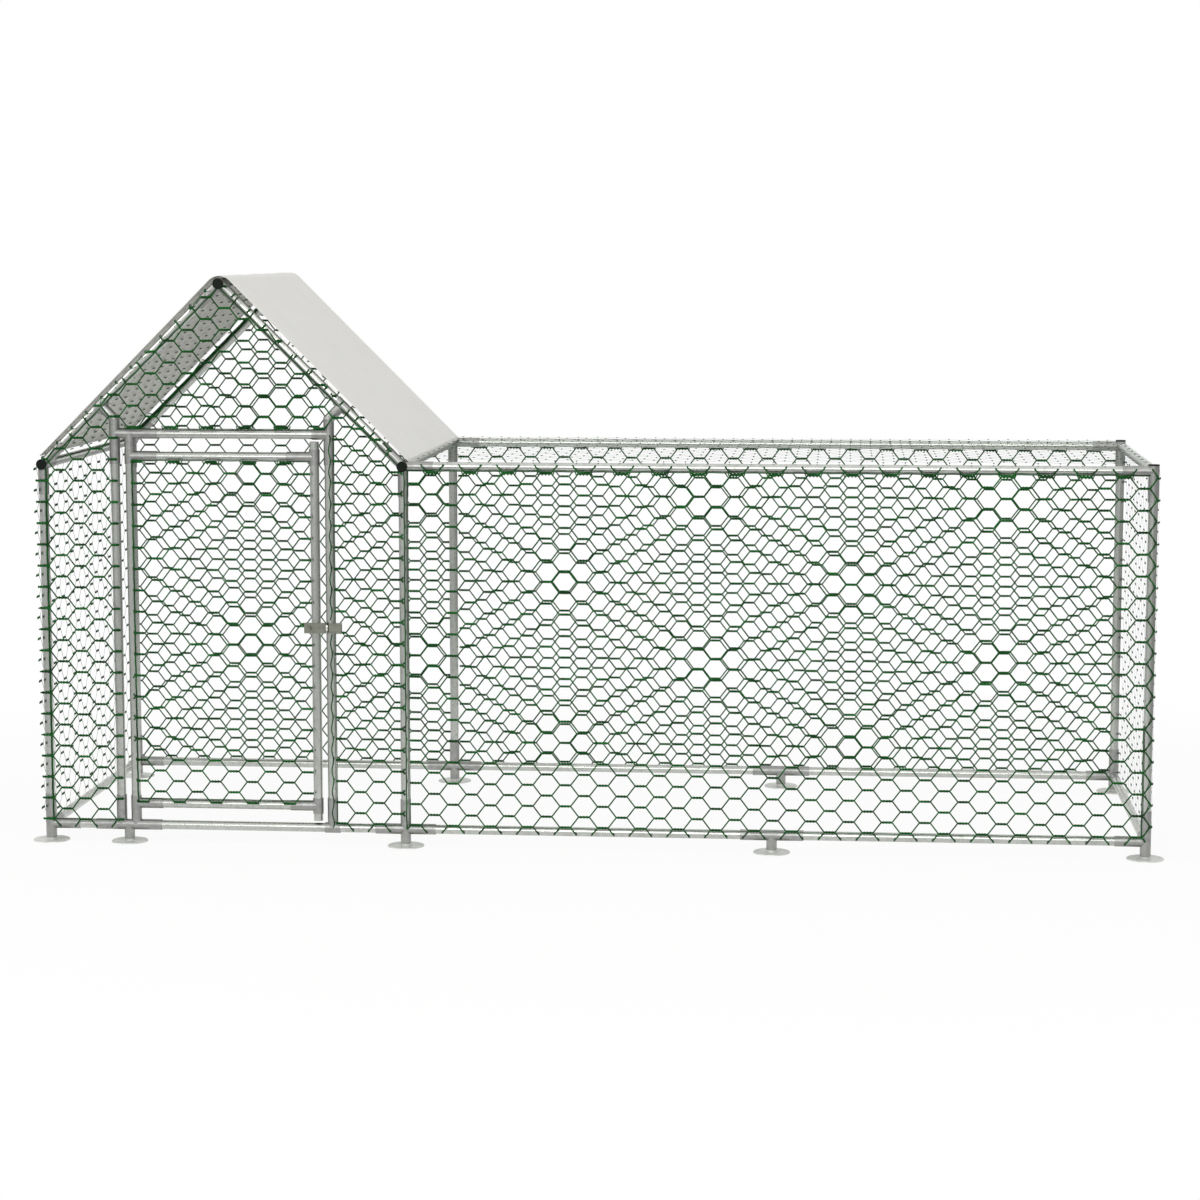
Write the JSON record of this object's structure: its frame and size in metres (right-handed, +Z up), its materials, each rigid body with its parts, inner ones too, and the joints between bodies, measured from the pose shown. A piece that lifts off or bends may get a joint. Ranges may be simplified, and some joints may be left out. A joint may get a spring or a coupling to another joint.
{
  "type": "chicken run",
  "caption": "Walk-in poultry run: a steel tube frame with hexagonal netting, a ridged house end with a sheet cover and a latched door, and a lower run beside it.",
  "frame": {"origin": "on the ground, under the middle of the frame's outline, feet included", "axes": "+X along the length, from the house to the run; +Y from the front, where the door is, to the back; +Z up"},
  "size_m": [3.075, 1.0748, 1.5418],
  "materials": {
    "zinc_tube": "galvanised, satin",
    "socket_steel": "galvanised, dull",
    "foot_zinc": "galvanised, satin",
    "latch_steel": "zinc plated, dull",
    "green_wire": "plastic coated wire",
    "cap_plastic": "moulded, matt",
    "cover_cloth": "coated woven sheet"
  },
  "bodies": {
    "frame": {"post_front_left": "zinc_tube", "post_front_mid": "zinc_tube", "post_front_right": "zinc_tube", "post_back_left": "zinc_tube", "post_back_mid": "zinc_tube", "post_back_right": "zinc_tube", "hinge_post": "zinc_tube", "latch_post": "zinc_tube", "lintel": "zinc_tube", "sill_left": "zinc_tube", "sill_right": "zinc_tube", "rail_left": "zinc_tube", "rail_right": "zinc_tube", "rail_back_house": "zinc_tube", "run_rails_bottom_front": "zinc_tube", "run_rails_bottom_back": "zinc_tube", "run_rail_top_front": "zinc_tube", "run_rail_top_back": "zinc_tube", "run_rail_top_right": "zinc_tube", "eave_tube_left": "zinc_tube", "eave_tube_mid": "zinc_tube", "ridge_tube": "zinc_tube", "rafters_front": "zinc_tube", "rafters_back": "zinc_tube", "corner_connectors": "socket_steel", "mid_connectors": "socket_steel", "run_couplers": "socket_steel", "sill_hinge_connector": "socket_steel", "latch_post_base": "socket_steel", "door_head_connectors": "socket_steel", "eave_connectors_left": "socket_steel", "eave_connectors_mid": "socket_steel", "ridge_connectors": "socket_steel", "run_top_corners": "socket_steel", "front_net_left": "green_wire", "front_net_right": "green_wire", "front_net_gable": "green_wire", "left_net": "green_wire", "back_net_gable": "green_wire", "back_net_run": "green_wire", "roof_net_left": "green_wire", "roof_net_right": "green_wire", "run_front_net": "green_wire", "run_top_net": "green_wire", "run_right_net": "green_wire", "end_caps": "cap_plastic", "feet": "foot_zinc", "roof_cover": "cover_cloth", "latch_keeper": "latch_steel", "keeper_screws": "latch_steel"},
    "door": {"door_hinge_stile": "zinc_tube", "door_latch_stile": "zinc_tube", "door_rail_top": "zinc_tube", "door_rail_bottom": "zinc_tube", "door_elbows": "socket_steel", "door_net": "green_wire", "latch_guide": "latch_steel", "guide_screws": "latch_steel"},
    "latch_bolt": {"latch_bolt": "latch_steel"}
  },
  "joints": [
    {"name": "door_swing", "type": "hinge", "parent": "frame", "child": "door", "pos_m": [-1.248, -0.4875, 0.5835], "axis": [0, 0, -1], "range_deg": [0, 105]},
    {"name": "latch_slide", "type": "slide", "parent": "door", "child": "latch_bolt", "axis": [1, 0, 0], "range_m": [0, 0.034]}
  ]
}
